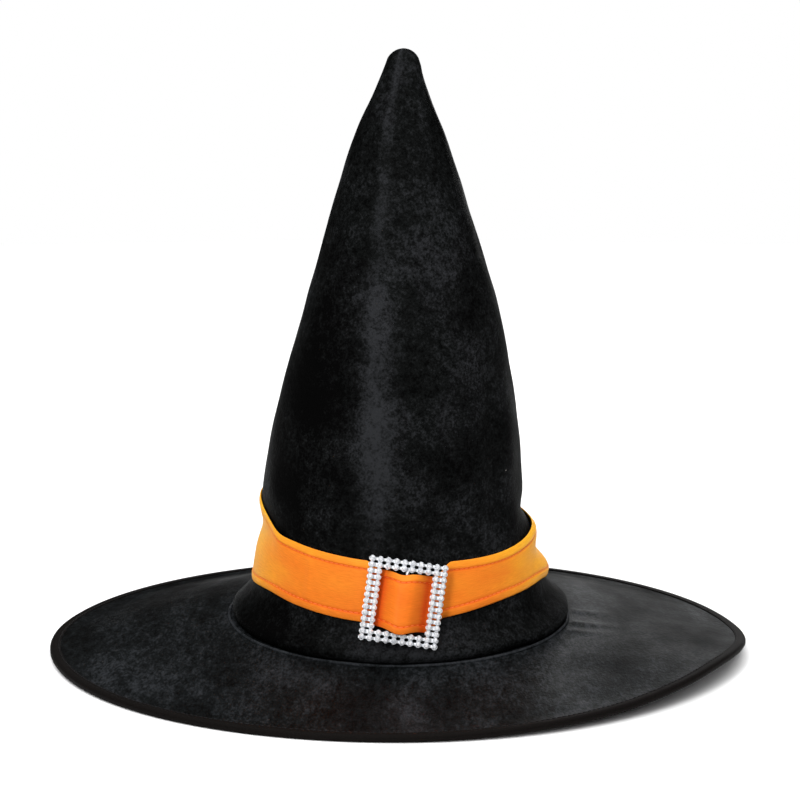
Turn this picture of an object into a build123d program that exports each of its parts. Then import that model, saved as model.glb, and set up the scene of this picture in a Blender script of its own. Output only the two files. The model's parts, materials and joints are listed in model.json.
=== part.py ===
"""Witch hat: a wide stiffened brim, a tall leaning cone, a satin band and a rhinestone buckle.

Millimetres, +Z up, the wearer's front towards -Y. The brim's edge rests on z = 0. The cone, the band and the head opening
are turned about one axis that leans forward, and the buckle slides round that axis and rocks about its own centre bar.
"""
import math
import os

from build123d import *

os.makedirs("parts", exist_ok=True)

# ---- overall sizes
brim_diameter = 400.0
crown_height = 322.0  # along the crown's axis, from the seam to the tip
seam_z = 19.0  # height of the seam's centre over the table
lean = 4.0  # degrees the crown's axis leans to the front

# ---- head opening and cloth layers
opening_r = 90.0  # clear radius inside the sweatband: a 57 cm head
sweatband_t = 0.8
mouth_straight = 5.0  # the opening stays round and straight for this far over the seam
lining_t = 0.4
interlining_t = 1.0
velvet_t = 1.3
roll_out = 2.6  # the rolled hem of the velvet stands out past its own seam by this
roll_up = 3.6  # height of the roll's fullest line

# ---- crown shape
flare_rise = 15.5  # the flare reaches the band this far over the straight mouth
flare_in = 8.0  # and comes in by this much
band_width = 36.0  # along the axis
band_taper = 8.0  # the band's radius drops by this over its width
tip_r = 8.2  # radius where the rounded tip starts
tip_h = 5.3  # height of the rounded tip
# Height over the band and radius, both as shares of what is left above the band.
taper = ((0.05, 0.984), (0.12, 0.955), (0.22, 0.903), (0.36, 0.815), (0.50, 0.700), (0.64, 0.548), (0.78, 0.392), (0.89, 0.245))

# ---- brim
hem_flat = 10.0  # flat ring at the rim that the binding grips
cover_t = 0.9
board_t = 1.6
under_t = 0.6
binding_t = 0.5
binding_w = 6.0
wire_r = 0.85
seat_out = 5.4  # flat seat outside the crown's seam, for the roll and the welt
welt_w = 1.7
welt_h = 1.3

# ---- band
satin_t = 0.8
hem_in = 4.5  # topstitch to edge
thread_w = 0.7
thread_h = 0.35
join_w = 24.0
join_t = 0.7

# ---- buckle
stone_d = 2.7
cup_d = 3.25
pitch_x = 4.45
pitch_y = 3.31
columns = 10
rows = 14
plate_t = 1.2
plate_margin = 0.25
cup_h = 1.6
cup_floor = 0.3
prong_h = 0.45
table_d = 1.5
crown_facet_h = 0.85
girdle_h = 0.25
bar_r = 1.1
buckle_up = 33.4  # the buckle's centre along the crown's axis
buckle_lean = 3.97  # degrees it leans back from the band's face
buckle_turn = 8.7  # degrees it hangs clockwise in its own plane
buckle_azimuth = 2.0  # degrees round the crown, to the viewer's right
gap_share = 0.10689  # plate's back to the band at the centre, as a share of the frame's height
loop_half = 20.0
loop_top = 6.0  # the loop's middle over the plate's mid-plane
loop_foot = 0.4  # the loop's ends over the band's face at the centre
loop_flank = 8.6
loop_gap = 0.7  # loop edge to the window's edge

# ---- derived sizes
lining_in_r = opening_r + sweatband_t
lining_out_r = lining_in_r + lining_t
base_r = lining_out_r + interlining_t  # the interlining's outer radius at the seam
velvet_seam_r = base_r + velvet_t - 0.1
band_low_s = mouth_straight + flare_rise
band_low_r = base_r - flare_in  # the velvet's radius under the band's lower edge
wall_low_r = band_low_r - velvet_t
wall_high_r = wall_low_r - band_taper
flare_mid_r = wall_low_r + 0.47 * (base_r - wall_low_r)
flare_mid_s = mouth_straight + 0.52 * flare_rise
band_high_s = band_low_s + band_width
seat_r = velvet_seam_r + seat_out
brim_r = brim_diameter / 2
layers_r = brim_r - binding_t - 2 * wire_r - 0.1
flat_r = layers_r - hem_flat
under_z = binding_t
cover_top = under_z + under_t + board_t + cover_t
stack_t = under_t + board_t + cover_t

frame_w = (columns - 1) * pitch_x + cup_d + 2 * plate_margin
frame_h = (rows - 1) * pitch_y + cup_d + 2 * plate_margin
window_w = frame_w - 2 * (pitch_x + cup_d + 2 * plate_margin)
window_h = frame_h - 2 * (pitch_y + cup_d + 2 * plate_margin)
loop_w = min(window_h - 2 * loop_gap, band_width)
buckle_gap = gap_share * frame_h
buckle_tilt = math.degrees(math.atan(band_taper / band_width)) + buckle_lean
loop_end = loop_foot - buckle_gap - plate_t / 2

# ---- frames
lean_r = math.radians(lean)
up = Vector(0, -math.sin(lean_r), math.cos(lean_r))
front = Vector(0, -math.cos(lean_r), -math.sin(lean_r))
side = Vector(1, 0, 0)
seam_centre = Vector(0, 0, seam_z)
crown_axis = Axis(seam_centre, up)
seam_plane = Plane(origin=seam_centre, x_dir=side, z_dir=up)
# x of this plane is the radius, y the height along the crown's axis
profile_plane = Plane(origin=seam_centre, x_dir=side, z_dir=front)

tilt_r, turn_r = math.radians(buckle_tilt), math.radians(buckle_turn)
plate_up = up * math.cos(tilt_r) - front * math.sin(tilt_r)
plate_out = front * math.cos(tilt_r) + up * math.sin(tilt_r)
buckle_x = side * math.cos(turn_r) - plate_up * math.sin(turn_r)
band_face_r = band_low_r + satin_t - band_taper * (buckle_up - band_low_s) / band_width
buckle_centre = up * buckle_up + front * (band_face_r + (buckle_gap + plate_t / 2) / math.cos(tilt_r))
swing = Axis((0, 0, 0), up)
buckle_plane = Plane(
    origin=seam_centre + buckle_centre.rotate(swing, buckle_azimuth),
    x_dir=buckle_x.rotate(swing, buckle_azimuth),
    z_dir=plate_out.rotate(swing, buckle_azimuth),
)


def dome(r, s, top):
    """A point half way up the arc that closes a wall at (r, s) on the axis at top."""
    centre = (top**2 - s**2 - r**2) / (2 * (top - s))
    radius = top - centre
    half = math.asin(min(1.0, r / radius)) / 2
    return radius * math.sin(half), centre + radius * math.cos(half)


def upper_wall(shift):
    """The crown's line from the band's lower edge to the axis, moved in by shift."""
    high = (wall_high_r - shift, band_high_s)
    tip_s = crown_height - tip_h
    span, reach = tip_s - band_high_s, wall_high_r - tip_r
    stations = [(wall_high_r * r - shift, band_high_s + h * span) for h, r in taper]
    tip = (tip_r - velvet_t - shift, tip_s)
    top = crown_height - velvet_t - max(shift, -velvet_t)
    Line((wall_low_r - shift, band_low_s), high)
    Spline(high, *stations, tip, tangents=((-0.03, 1.0), (-reach * 0.62, span * 0.62)), tangent_scalars=(1.0, 1.0))
    ThreePointArc(tip, dome(*tip, top), (0, top))
    return (0, top)


def base_wall(shift):
    """The straight mouth and the flare below the band."""
    foot = (base_r - shift, 0)
    knee = (base_r - shift, mouth_straight)
    middle = (flare_mid_r - shift, flare_mid_s)
    low = (wall_low_r - shift, band_low_s)
    Line(foot, knee)
    Spline(knee, middle, low, tangents=((0, 1), (-band_taper, band_width)))
    return foot


def wall_section(outer, inner):
    """The closed line of one layer of the cone, between two distances from the interlining's face."""
    Line(upper_wall(outer), upper_wall(inner))
    Line(base_wall(outer), base_wall(inner))


def ridge(foot, along, out, width, height):
    """A low ridge with sloping flanks on a face: foot is its middle, along the face's direction."""
    n = math.hypot(*along)
    ax, ay = along[0] / n * width / 2, along[1] / n * width / 2
    tx, ty = foot[0] + out[0] * height, foot[1] + out[1] * height
    Polyline(
        (foot[0] - ax, foot[1] - ay),
        (foot[0] + ax, foot[1] + ay),
        (tx + ax / 2, ty + ay / 2),
        (tx - ax / 2, ty - ay / 2),
        close=True,
    )


with BuildPart() as opening_tool:
    with BuildSketch(seam_plane):
        Circle(lining_in_r)
    extrude(amount=60, both=True)

# ---- crown
with BuildPart() as crown_shell:
    with BuildSketch(profile_plane):
        with BuildLine():
            a, b = upper_wall(-velvet_t), upper_wall(0)
            Line(a, b)
            foot = base_wall(0)
            Line(foot, (velvet_seam_r, 0))
            shoulder = (velvet_seam_r + 0.5, roll_up + 4.4)
            roll = ThreePointArc((velvet_seam_r, 0), (velvet_seam_r + roll_out, roll_up), shoulder)
            Spline(
                shoulder,
                (flare_mid_r + 0.75 * velvet_t, flare_mid_s + 0.85 * velvet_t),
                (band_low_r, band_low_s),
                tangents=(roll % 1, (-band_taper, band_width)),
            )
        make_face()
    revolve(axis=crown_axis)
crown_shell.part.label = "crown_shell"
export_step(crown_shell.part, "parts/crown_shell.step")

with BuildPart() as crown_interlining:
    with BuildSketch(profile_plane):
        with BuildLine():
            wall_section(0, interlining_t)
        make_face()
    revolve(axis=crown_axis)
crown_interlining.part.label = "crown_interlining"
export_step(crown_interlining.part, "parts/crown_interlining.step")

with BuildPart() as crown_lining:
    with BuildSketch(profile_plane):
        with BuildLine():
            wall_section(interlining_t, interlining_t + lining_t)
        make_face()
    revolve(axis=crown_axis)
crown_lining.part.label = "crown_lining"
export_step(crown_lining.part, "parts/crown_lining.step")

with BuildPart() as seam_welt:
    with BuildSketch(profile_plane):
        with BuildLine():
            ridge((seat_r - welt_w, 0), (1, 0), (0, 1), welt_w, welt_h)
        make_face()
    revolve(axis=crown_axis)
seam_welt.part.label = "seam_welt"
export_step(seam_welt.part, "parts/seam_welt.step")


# ---- brim: everything under the brim's upper face, from the seat at the seam out to the flat ring at the rim
with BuildPart() as brim_form:
    with BuildSketch(seam_plane):
        Circle(seat_r)
    with BuildSketch(Plane.XY.offset(cover_top)):
        Circle(flat_r)
    loft(ruled=True)
    with BuildSketch(Plane.XY.offset(cover_top)):
        Circle(layers_r)
    extrude(amount=-12)
under_cover, under_board, under_all = (
    brim_form.part.moved(Location((0, 0, -drop))) for drop in (cover_t, cover_t + board_t, stack_t)
)

with BuildPart() as brim_cover:
    add(brim_form.part)
    add(under_cover, mode=Mode.SUBTRACT)
    add(opening_tool.part, mode=Mode.SUBTRACT)
brim_cover.part.label = "brim_cover"
export_step(brim_cover.part, "parts/brim_cover.step")

with BuildPart() as brim_board:
    add(under_cover)
    add(under_board, mode=Mode.SUBTRACT)
    add(opening_tool.part, mode=Mode.SUBTRACT)
brim_board.part.label = "brim_board"
export_step(brim_board.part, "parts/brim_board.step")

with BuildPart() as brim_underside:
    add(under_board)
    add(under_all, mode=Mode.SUBTRACT)
    add(opening_tool.part, mode=Mode.SUBTRACT)
brim_underside.part.label = "brim_underside"
export_step(brim_underside.part, "parts/brim_underside.step")

with BuildPart() as brim_wire:
    with BuildSketch(Plane.XZ):
        with Locations((layers_r + wire_r, under_z + stack_t / 2)):
            Circle(wire_r)
    revolve(axis=Axis.Z)
brim_wire.part.label = "brim_wire"
export_step(brim_wire.part, "parts/brim_wire.step")

with BuildPart() as brim_binding:
    with BuildSketch(Plane.XZ):
        with BuildLine():
            inner = brim_r - binding_w
            outer = brim_r - binding_t
            top = cover_top + binding_t
            Polyline((inner, 0), (outer - 0.6, 0))
            ThreePointArc((outer - 0.6, 0), (brim_r, top / 2), (outer - 0.6, top))
            Polyline(
                (outer - 0.6, top),
                (inner, top),
                (inner, cover_top),
                (outer - 0.7, cover_top),
            )
            ThreePointArc((outer - 0.7, cover_top), (outer, top / 2), (outer - 0.7, under_z))
            Polyline((outer - 0.7, under_z), (inner, under_z), (inner, 0))
        make_face()
    revolve(axis=Axis.Z)
brim_binding.part.label = "brim_binding"
export_step(brim_binding.part, "parts/brim_binding.step")

with BuildPart() as binding_stitch:
    with BuildSketch(Plane.XZ):
        with BuildLine():
            ridge((brim_r - binding_w + 1.0, cover_top + binding_t), (1, 0), (0, 1), thread_w, thread_h)
        make_face()
    revolve(axis=Axis.Z)
binding_stitch.part.label = "binding_stitch"
export_step(binding_stitch.part, "parts/binding_stitch.step")


# ---- sweatband, flush with the brim's underside, and the seam's thread under the brim
low = -stack_t * math.cos(lean_r)
with BuildPart() as sweatband:
    with BuildSketch(profile_plane):
        with BuildLine():
            face = interlining_t + lining_t
            for shift in (face, face + sweatband_t):
                Line((base_r - shift, low), (base_r - shift, 0))
                base_wall(shift)
            Line((base_r - face, low), (base_r - face - sweatband_t, low))
            Line((wall_low_r - face, band_low_s), (wall_low_r - face - sweatband_t, band_low_s))
        make_face()
    revolve(axis=crown_axis)
sweatband.part.label = "sweatband"
export_step(sweatband.part, "parts/sweatband.step")

with BuildPart() as opening_stitch:
    with BuildSketch(profile_plane):
        with BuildLine():
            ridge((base_r + 1.5, low), (1, 0), (0, -1), thread_w, thread_h)
        make_face()
    revolve(axis=crown_axis)
opening_stitch.part.label = "opening_stitch"
export_step(opening_stitch.part, "parts/opening_stitch.step")


# ---- band
face_low, face_high = band_low_r + satin_t, band_low_r + satin_t - band_taper
fall = band_taper / band_width
normal = (math.cos(math.atan(fall)), math.sin(math.atan(fall)))


back_of_band = (0, band_low_r, seam_z + band_low_s + band_width / 2)


def band_section(inner, outer, low, high):
    """The section of a conical ring on the band, between two distances from the velvet and two from the band's lower edge."""
    Polyline(
        (band_low_r + inner - fall * low, band_low_s + low),
        (band_low_r + outer - fall * low, band_low_s + low),
        (band_low_r + outer - fall * high, band_low_s + high),
        (band_low_r + inner - fall * high, band_low_s + high),
        close=True,
    )


with BuildPart() as hat_band:
    with BuildSketch(profile_plane):
        with BuildLine():
            band_section(0, satin_t, 0, band_width)
        make_face()
    revolve(axis=crown_axis)
hat_band.part.label = "hat_band"
export_step(hat_band.part, "parts/hat_band.step")

# topstitch, left out where the join lies over it
with BuildPart() as band_stitch_lower:
    with BuildSketch(profile_plane):
        with BuildLine():
            ridge((face_low - fall * hem_in, band_low_s + hem_in), (-fall, 1), normal, thread_w, thread_h)
        make_face()
    revolve(axis=crown_axis)
    with Locations(back_of_band):
        Box(join_w, band_low_r, 3 * band_width, mode=Mode.SUBTRACT)
band_stitch_lower.part.label = "band_stitch_lower"
export_step(band_stitch_lower.part, "parts/band_stitch_lower.step")

with BuildPart() as band_stitch_upper:
    with BuildSketch(profile_plane):
        with BuildLine():
            high = band_width - hem_in
            ridge((face_low - fall * high, band_low_s + high), (-fall, 1), normal, thread_w, thread_h)
        make_face()
    revolve(axis=crown_axis)
    with Locations(back_of_band):
        Box(join_w, band_low_r, 3 * band_width, mode=Mode.SUBTRACT)
band_stitch_upper.part.label = "band_stitch_upper"
export_step(band_stitch_upper.part, "parts/band_stitch_upper.step")

with BuildPart() as band_join:
    with BuildSketch(profile_plane):
        with BuildLine():
            band_section(satin_t, satin_t + join_t, 0, band_width)
        make_face()
    revolve(axis=crown_axis)
    with Locations(back_of_band):
        Box(join_w, band_low_r, 3 * band_width, mode=Mode.INTERSECT)
band_join.part.label = "band_join"
export_step(band_join.part, "parts/band_join.step")

with BuildPart() as join_rows:
    with Locations(back_of_band):
        with GridLocations(join_w - 6, 0, 2, 1):
            Box(thread_w, band_low_r, 3 * band_width)
with BuildPart() as band_join_stitch:
    with BuildSketch(profile_plane):
        with BuildLine():
            band_section(satin_t + join_t, satin_t + join_t + thread_h, 2, band_width - 2)
        make_face()
    revolve(axis=crown_axis)
    add(join_rows.part, mode=Mode.INTERSECT)
band_join_stitch.part.label = "band_join_stitch"
export_step(band_join_stitch.part, "parts/band_join_stitch.step")


# ---- band loop: the slack of the band over the buckle's bar, drawn across the buckle
def along_loop(x, d):
    """A point of the loop's line at x, moved out by d square to it."""
    rise = loop_top - loop_end
    z = loop_end + rise * math.exp(-((x / loop_flank) ** 2))
    slope = -2 * x / loop_flank**2 * (z - loop_end)
    n = math.hypot(1, slope)
    return x - slope / n * d, z + d / n


def loop_section(inner, outer):
    """The section of a strip on the loop, between two distances from its middle line."""
    stops = [loop_half * k / 8 for k in range(-8, 9)]
    a = [along_loop(x, inner) for x in stops]
    b = [along_loop(x, outer) for x in stops]
    Spline(*a)
    Spline(*b)
    Line(a[0], b[0])
    Line(a[-1], b[-1])


def across_buckle(height):
    """A plane square to the bar, height above the buckle's centre, with its y out of the buckle."""
    return Plane(
        origin=buckle_plane.from_local_coords((0, height, 0)),
        x_dir=buckle_plane.x_dir,
        z_dir=buckle_plane.y_dir * -1,
    )


with BuildPart() as band_loop:
    with BuildSketch(across_buckle(loop_w / 2)):
        with BuildLine():
            loop_section(-satin_t / 2, satin_t / 2)
        make_face()
    extrude(amount=loop_w)
band_loop.part.label = "band_loop"
export_step(band_loop.part, "parts/band_loop.step")

with BuildPart() as loop_stitch:
    with BuildSketch(*(across_buckle(side_of * (loop_w / 2 - hem_in) + thread_w / 2) for side_of in (-1, 1))):
        with BuildLine():
            loop_section(satin_t / 2, satin_t / 2 + thread_h)
        make_face()
    extrude(amount=thread_w)
loop_stitch.part.label = "loop_stitch"
export_step(loop_stitch.part, "parts/loop_stitch.step")

# ---- buckle
with BuildPart() as buckle_frame:
    with BuildSketch(buckle_plane.offset(-plate_t / 2)):
        RectangleRounded(frame_w, frame_h, cup_d / 2 + plate_margin)
        Rectangle(window_w, window_h, mode=Mode.SUBTRACT)
    extrude(amount=plate_t)
buckle_frame.part.label = "buckle_frame"
export_step(buckle_frame.part, "parts/buckle_frame.step")

with BuildPart() as buckle_bar:
    with BuildSketch(across_buckle(0)):
        Circle(bar_r)
    extrude(amount=window_h / 2, both=True)
buckle_bar.part.label = "buckle_bar"
export_step(buckle_bar.part, "parts/buckle_bar.step")

with BuildPart() as setting:
    Cylinder(cup_d / 2, cup_h + prong_h, align=(Align.CENTER, Align.CENTER, Align.MIN))
    with Locations((0, 0, cup_floor)):
        Cylinder(stone_d / 2, cup_h + prong_h, align=(Align.CENTER, Align.CENTER, Align.MIN), mode=Mode.SUBTRACT)
    with Locations((0, 0, cup_h)):
        Box(cup_d + 1, stone_d * 0.72, prong_h + 1, align=(Align.CENTER, Align.CENTER, Align.MIN), mode=Mode.SUBTRACT)
        Box(stone_d * 0.72, cup_d + 1, prong_h + 1, align=(Align.CENTER, Align.CENTER, Align.MIN), mode=Mode.SUBTRACT)

with BuildPart() as stone:
    with BuildSketch(Plane.XZ):
        with BuildLine():
            Polyline(
                (0, cup_floor),
                (stone_d / 2, cup_h - girdle_h),
                (stone_d / 2, cup_h),
                (table_d / 2, cup_h + crown_facet_h),
                (0, cup_h + crown_facet_h),
                close=True,
            )
        make_face()
    revolve(axis=Axis.Z)


def ring_spots(inset):
    """Places of one rectangular row of stones on the plate's face, inset rows from the outside."""
    w, h = columns - 2 * inset, rows - 2 * inset
    grid = [(i, j) for i in range(w) for j in range(h) if i in (0, w - 1) or j in (0, h - 1)]
    return [
        buckle_plane.location * Location(((i - (w - 1) / 2) * pitch_x, (j - (h - 1) / 2) * pitch_y, plate_t / 2))
        for i, j in grid
    ]


with BuildPart() as outer_settings:
    with Locations(*ring_spots(0)):
        add(setting.part)
outer_settings.part.label = "outer_settings"
export_step(outer_settings.part, "parts/outer_settings.step")

with BuildPart() as inner_settings:
    with Locations(*ring_spots(1)):
        add(setting.part)
inner_settings.part.label = "inner_settings"
export_step(inner_settings.part, "parts/inner_settings.step")

with BuildPart() as outer_stones:
    with Locations(*ring_spots(0)):
        add(stone.part)
outer_stones.part.label = "outer_stones"
export_step(outer_stones.part, "parts/outer_stones.step")

with BuildPart() as inner_stones:
    with Locations(*ring_spots(1)):
        add(stone.part)
inner_stones.part.label = "inner_stones"
export_step(inner_stones.part, "parts/inner_stones.step")

print("seam centre", tuple(round(v, 3) for v in seam_centre), "crown axis", tuple(round(v, 5) for v in up))
print("buckle centre", tuple(round(v, 3) for v in buckle_plane.origin), "bar axis", tuple(round(v, 5) for v in buckle_plane.y_dir))
print("buckle out", tuple(round(v, 5) for v in buckle_plane.z_dir), "frame", round(frame_w, 2), round(frame_h, 2), "window", round(window_w, 2), round(window_h, 2))
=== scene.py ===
"""Witch hat: velvet cone and brim, satin band and rhinestone buckle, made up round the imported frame.

Metres, +Z up, the wearer's front towards -Y. Sizes in the text are millimetres and are turned to metres by MM.
The crown's pieces are laid out in the crown's own frame: s is the height along its axis from the brim seam, and
around is degrees round it, 0 at the front and growing towards the wearer's left hand, which is +X.
"""

import json
import math

import bmesh
import bpy
from mathutils import Matrix, Vector, noise
from mathutils.bvhtree import BVHTree


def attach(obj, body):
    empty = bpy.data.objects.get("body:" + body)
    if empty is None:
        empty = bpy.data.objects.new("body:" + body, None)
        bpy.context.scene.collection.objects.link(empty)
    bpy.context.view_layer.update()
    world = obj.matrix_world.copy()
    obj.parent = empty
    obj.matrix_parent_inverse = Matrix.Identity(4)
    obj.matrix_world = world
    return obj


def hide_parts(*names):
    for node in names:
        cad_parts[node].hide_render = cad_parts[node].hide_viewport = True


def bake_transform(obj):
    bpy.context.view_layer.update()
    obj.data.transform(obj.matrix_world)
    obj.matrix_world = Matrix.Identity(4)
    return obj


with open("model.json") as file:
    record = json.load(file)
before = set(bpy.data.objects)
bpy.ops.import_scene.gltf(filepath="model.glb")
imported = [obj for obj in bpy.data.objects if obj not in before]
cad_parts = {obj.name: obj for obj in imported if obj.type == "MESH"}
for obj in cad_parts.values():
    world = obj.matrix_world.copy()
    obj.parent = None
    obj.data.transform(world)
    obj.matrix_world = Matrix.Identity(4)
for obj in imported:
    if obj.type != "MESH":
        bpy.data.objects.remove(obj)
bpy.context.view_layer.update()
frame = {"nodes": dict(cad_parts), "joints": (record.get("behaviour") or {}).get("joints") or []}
scene = bpy.context.scene
MM = 0.001

# ---- sizes of the cut cloth and trims, in mm
CROWN_HEIGHT = 322.0
MOUTH_R = 93.7  # of the row of thread round the mouth
SEAT_R = 98.8  # where the crown's seam meets the brim
BRIM_R = 200.0
COVER_TOP = 3.6  # height of the brim's velvet over the table, at the rim
BINDING_W = 6.0
BINDING = 0.5
WIRE_R = 0.8
WIRE_AT_R, WIRE_AT_Z = 198.6, 2.05
BAND_WIDTH = 36.0
BAND_R = 82  # the band's middle radius
HEM = 4.5  # from a sewn row to the band's edge

# metres round each ring of cloth, for the cloth's own map
CROWN_GIRTH = 0.59
SEAM_GIRTH = 0.62
RIM_GIRTH = 1.25
RIBBON_GIRTH = 0.566
BAND_GIRTH = 0.515

# thickness of each cloth, a little less than its CAD layer's, which keeps the layers clear of each other
VELVET = 1.2
INTERLINING = 0.9
LINING = 0.3
BRIM_COVER = 0.8
BRIM_BOARD = 1.5
BRIM_BACKING = 0.5
RIBBON = 0.65
SATIN = 0.55
LAP = 0.5

# length, width and height of one stitch, and how many there are
HEM_STITCH, HEM_STITCHES = (2.5, 0.5, 0.34), 168
RIM_STITCH, RIM_STITCHES = (2.3, 0.5, 0.42), 400
MOUTH_STITCH, MOUTH_STITCHES = (2.3, 0.5, 0.4), 190
LAP_STITCH, LAP_STITCHES = (2.0, 0.5, 0.34), 12

# buckle
WINDOW_W = 27.4
COLUMNS, ROWS = 10, 14
PITCH_X, PITCH_Y = 4.45, 3.31
PLATE = 1.2
PAD_R = 1.74
RAIL_W = 1.5
LINK_W = 2.2
LATTICE = 0.9  # thickness of the rails and links
BAR_LUG = (1.6, 2.4)  # wide and high
CUP_R = 1.62
CUP_H = 1.6
CUP_WALL = 0.24
CLAW = (0.42, 0.85, 0.75)  # thick, wide and high
CLAW_TAPER = 0.6
CLAW_SET = 0.12  # in from the cup's wall, and up from its rim
STONE_R = 1.35
GIRDLE = 0.25
STONE_TOP = 0.85  # height of the table over the cup
TABLE_SHARE = 0.58  # the table's radius over the stone's
STONE_BACK = 0.3  # height of the stone's point over the plate

# ---- the crown's frame and the buckle's frame, from the joints
joints = {joint["name"]: joint for joint in frame["joints"]}
seam_centre = Vector(joints["buckle_slide"]["pos_m"])
crown_up = Vector(joints["buckle_slide"]["axis"]).normalized()
crown_frame = Matrix.Translation(seam_centre) @ Matrix.Rotation(math.atan2(-crown_up.y, crown_up.z), 4, "X")
from_crown = crown_frame.inverted()

bar_up = Vector(joints["buckle_rock"]["axis"]).normalized()
plate_out = Vector()
for face in frame["nodes"]["buckle_frame"].data.polygons:
    if face.normal.y < -0.8:
        plate_out += face.normal * face.area
plate_out.normalize()
buckle_frame = Matrix((bar_up.cross(plate_out), bar_up, plate_out)).transposed().to_4x4()
buckle_frame.translation = Vector(joints["buckle_rock"]["pos_m"])
from_buckle = buckle_frame.inverted()


# ---- small tools
def linear(colour):
    """A hex colour as the four linear values that a shader takes."""
    parts = [int(colour[k : k + 2], 16) / 255 for k in (1, 3, 5)]
    return tuple(c / 12.92 if c <= 0.04045 else ((c + 0.055) / 1.055) ** 2.4 for c in parts) + (1.0,)


def ease(low, high, value):
    """0 below low, 1 above high, smooth between them."""
    t = min(1.0, max(0.0, (value - low) / (high - low)))
    return t * t * (3 - 2 * t)


def hump(middle, width, value):
    """A soft bump of height 1."""
    return math.exp(-(((value - middle) / width) ** 2))


def along_line(stations, at):
    """A smooth line through (place, value) stations, flat past its ends."""
    if at <= stations[0][0]:
        return stations[0][1]
    for k in range(len(stations) - 1):
        (x0, y0), (x1, y1) = stations[k], stations[k + 1]
        if at <= x1:
            xa, ya = stations[max(0, k - 1)]
            xb, yb = stations[min(len(stations) - 1, k + 2)]
            span = x1 - x0
            m0, m1 = (y1 - ya) / (x1 - xa) * span, (yb - y0) / (xb - x0) * span
            t = (at - x0) / span
            return (
                (2 * t**3 - 3 * t**2 + 1) * y0
                + (t**3 - 2 * t**2 + t) * m0
                + (3 * t**2 - 2 * t**3) * y1
                + (t**3 - t**2) * m1
            )
    return stations[-1][1]


def lumps(place, size, seed=0.0):
    """Soft random heights between about -1 and 1, with lumps of the given size."""
    return noise.noise(Vector(place) / size + Vector((seed, seed * 1.7, -seed)))


def skin(node):
    """A CAD node's surface, ready to be measured with rays."""
    mesh = frame["nodes"][node].data
    return BVHTree.FromPolygons([v.co for v in mesh.vertices], [tuple(p.vertices) for p in mesh.polygons])


def outline(node, heights):
    """(height, radius) of the outside of a turned CAD layer, on the crown's axis."""
    surface = skin(node)
    sideways = Vector((math.sin(0.3), -math.cos(0.3), 0))
    line = []
    for s in heights:
        start = crown_frame @ (sideways * 0.3 + Vector((0, 0, s * MM)))
        hit = surface.ray_cast(start, crown_frame.to_3x3() @ -sideways)[0]
        if hit:
            line.append((s, (from_crown @ hit).xy.length / MM))
    return line


def azimuth(place):
    """Degrees round the z axis from the front, growing towards +X."""
    return math.degrees(math.atan2(place.x, -place.y))


# ---- how the cloth has settled
# (height, mm to the wearer's left) of the middle of the cone
SWAY = (
    (0, 0), (6, 0.3), (20, 0.8), (40, -0.3), (56, -1.2), (68, -2.6),
    (82, -2.8), (100, -1.7), (140, 0.3), (200, 1.6), (280, 1.0), (322, 3.2),
)
TIP_RISE = 2.6  # the tip's cloth is drawn up by this
FLOOR_GAP = 0.15


def settled(around, s):
    """How far the crown's wall stands out from its turned shape, in mm."""
    # slow waves on the cone above the band
    above = ease(58, 78, s) * (1 - ease(300, 320, s))
    place = (math.sin(math.radians(around)) * 80, math.cos(math.radians(around)) * 80, s)
    out = above * (0.9 * lumps(place, 42, 3.1) + 0.45 * lumps(place, 19, 7.7))
    # a crease up from the band on the wearer's left, with a ridge beside it
    crease = ease(54, 66, s) * (1 - ease(120, 165, s))
    out -= 1.7 * crease * hump(49 + 0.02 * (s - 60), 5.0, around)
    out += 0.9 * crease * hump(63, 8.0, around)
    # a soft fold up the front, hollow beside it
    fold = ease(60, 85, s) * (1 - ease(150, 215, s))
    out += 0.9 * fold * hump(-17 + 0.07 * (s - 80), 9.0, around)
    out -= 1.0 * fold * hump(-40, 13.0, around)
    # pinched in at the wearer's left, over the band and behind it
    out -= 4.3 * hump(97, 22, around) * hump(64, 7.5, s) + 2.6 * hump(96, 15, around) * hump(38, 6, s)
    # flatter on the wearer's right, half way up and behind the band
    out -= 2.1 * hump(-92, 42, around) * hump(184, 30, s) + 2.0 * hump(-92, 26, around) * hump(54, 9, s)
    # fuller under the tip and some way above the band, and a nub at the tip's left front
    out += 1.1 * hump(288, 26, s) + 0.7 * hump(115, 22, s)
    out += 1.0 * hump(60, 30, around) * hump(CROWN_HEIGHT - 9, 4, s)
    return out


def round_axis(turn, r, s):
    """The place at a turn in radians, r mm out from the crown's axis and s mm up it."""
    return crown_frame @ (Vector((r * math.sin(turn), -r * math.cos(turn), s)) * MM)


def on_crown(around, s, line, out=0.0):
    """The place of a layer of the crown, out mm over its turned outline."""
    radius = along_line(line, s)
    radius += (out + settled(around, s)) * min(1.0, radius / 8)
    turn = math.radians(around)
    x, y = radius * math.sin(turn) + along_line(SWAY, s), -radius * math.cos(turn)
    return crown_frame @ (Vector((x, y, s + TIP_RISE * ease(292, 318, s))) * MM)


# (degrees round, lift) of the rim: it rests on the table nearly all round, and turns up at the wearer's front left
RIM = (
    (-180, 0), (-110, 0), (-85, 0.8), (-65, 0.6), (-45, 0), (0, 0), (12, 0.8), (24, 2.5), (36, 4.8),
    (50, 8.8), (62, 11.0), (74, 9.0), (86, 4.4), (98, 1.3), (115, 0.2), (150, 0), (180, 0),
)
# (degrees round, height) of the small folds that the seam pulls in the brim
SEAM_PULLS = ((-83, 1.1), (-74, 0.8), (-60, 0.4), (78, 0.9), (70, 0.7), (90, 0.9), (140, 0.5), (-150, 0.5))


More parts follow.
